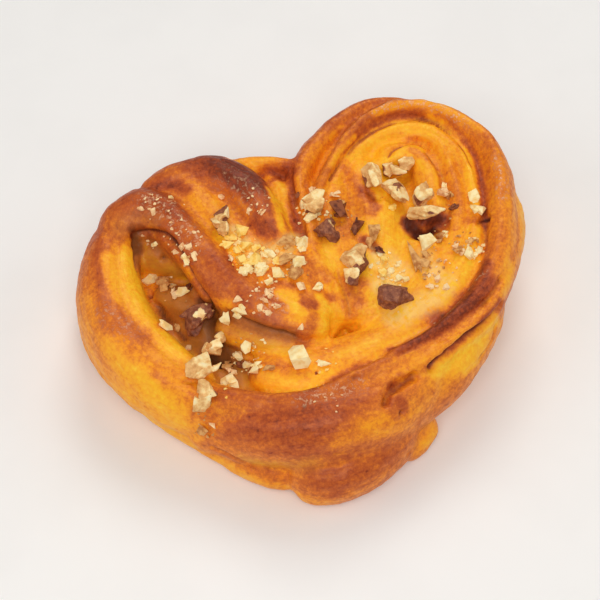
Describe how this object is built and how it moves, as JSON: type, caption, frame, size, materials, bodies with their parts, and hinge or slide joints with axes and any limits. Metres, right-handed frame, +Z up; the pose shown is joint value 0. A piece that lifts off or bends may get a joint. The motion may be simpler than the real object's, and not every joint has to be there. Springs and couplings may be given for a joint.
{
  "type": "sugar bun",
  "caption": "Heart-shaped sugar bun of rolled and folded sweet dough, baked golden brown, with chopped walnuts scattered over its folds.",
  "frame": {"origin": "under the middle of the bun's bounding box, on the flat spot that it rests on", "axes": "+Z up, +Y from the heart's point to its cleft, +X towards the lobe with the open swirl"},
  "size_m": [0.1231, 0.1091, 0.0408],
  "materials": {
    "baked_crust": "baked sweet dough, golden yellow to mahogany, satin egg-wash sheen",
    "walnut_kernel": "chopped walnut, cream where cut and tan where toasted, dull",
    "walnut_skin": "brown wrinkled walnut skin, dull"
  },
  "bodies": {
    "root": {"dough": "baked_crust", "walnut_01": "walnut_kernel", "walnut_02": "walnut_skin", "walnut_03": "walnut_kernel", "walnut_04": "walnut_kernel", "walnut_05": "walnut_kernel", "walnut_06": "walnut_kernel", "walnut_07": "walnut_kernel", "walnut_08": "walnut_kernel", "walnut_09": "walnut_skin", "walnut_10": "walnut_kernel", "walnut_11": "walnut_skin", "walnut_12": "walnut_kernel", "walnut_13": "walnut_kernel", "walnut_14": "walnut_kernel"}
  },
  "joints": []
}
